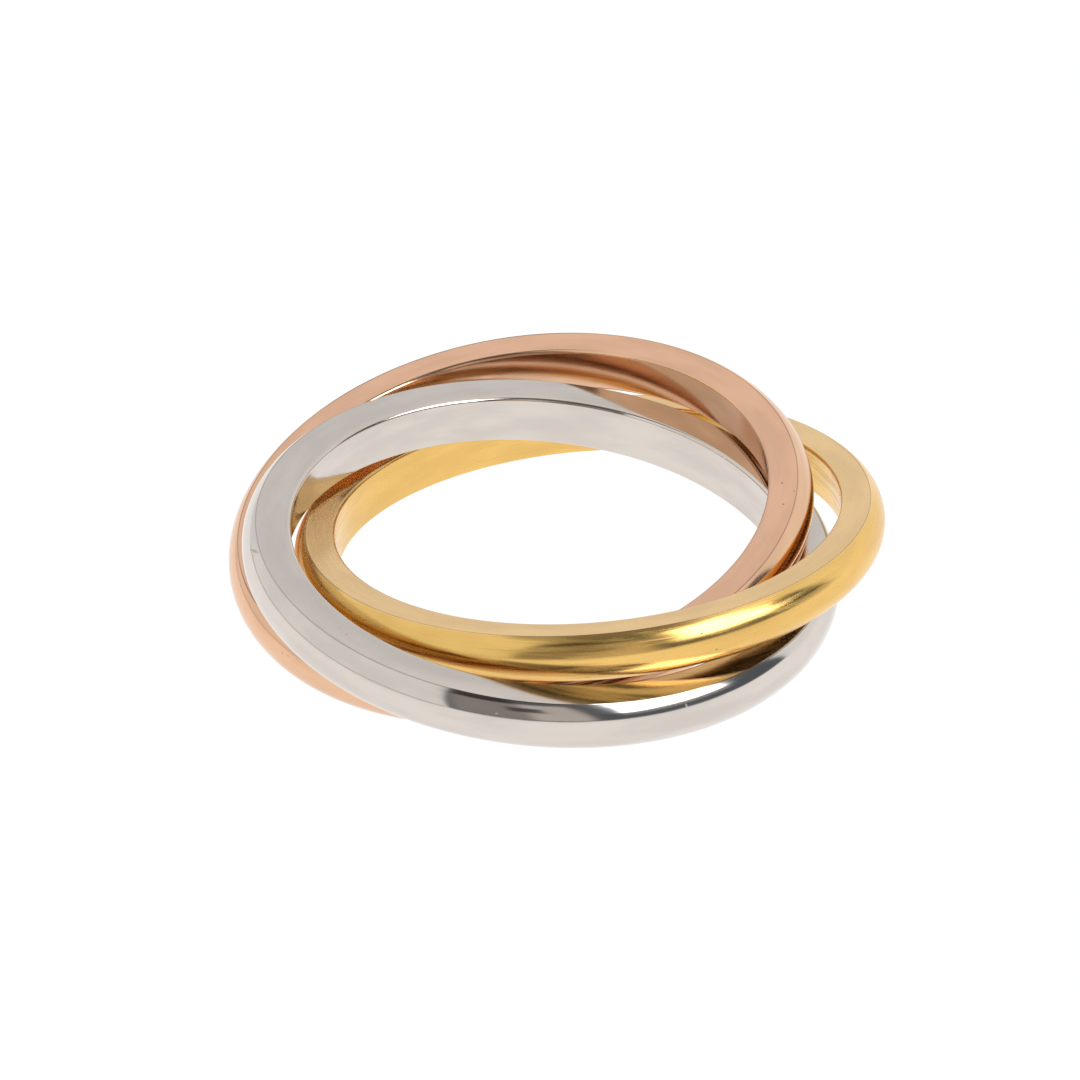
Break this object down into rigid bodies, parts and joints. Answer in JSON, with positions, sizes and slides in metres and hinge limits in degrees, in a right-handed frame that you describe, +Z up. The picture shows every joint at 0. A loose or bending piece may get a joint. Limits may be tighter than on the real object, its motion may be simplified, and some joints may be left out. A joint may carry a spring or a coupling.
{
  "type": "interlocked rolling finger ring",
  "caption": "Finger ring of linked bands, each a polished hoop with flat sides and a domed outside, lying on its side with every band crossing over and under the others.",
  "frame": {"origin": "on the plane that the ring lies on, under the middle of the box around it", "axes": "+Z up from the resting plane, +X to the right and +Y away as the picture shows it"},
  "size_m": [0.025, 0.0252, 0.005],
  "materials": {
    "polished_steel": "stainless steel, polished, with fine wear scratches",
    "yellow_gold_tone": "yellow gold tone coating on stainless steel, polished, with fine wear scratches",
    "rose_gold_tone": "rose gold tone coating on stainless steel, polished, with small pits and scratches"
  },
  "bodies": {
    "steel": {"steel_band": "polished_steel"},
    "yellow_gold": {"yellow_gold_band": "yellow_gold_tone"},
    "rose_gold": {"rose_gold_band": "rose_gold_tone"}
  },
  "joints": [
    {"name": "yellow_gold_turn", "type": "hinge", "parent": "steel", "child": "yellow_gold", "pos_m": [0.00127, 0.0005, 0.00235], "axis": [-0.0206, 0.1299, 0.9913], "continuous": true},
    {"name": "rose_gold_turn", "type": "hinge", "parent": "steel", "child": "rose_gold", "pos_m": [-0.00132, 0.00142, 0.0024], "axis": [-0.1013, -0.0912, 0.9907], "continuous": true}
  ]
}
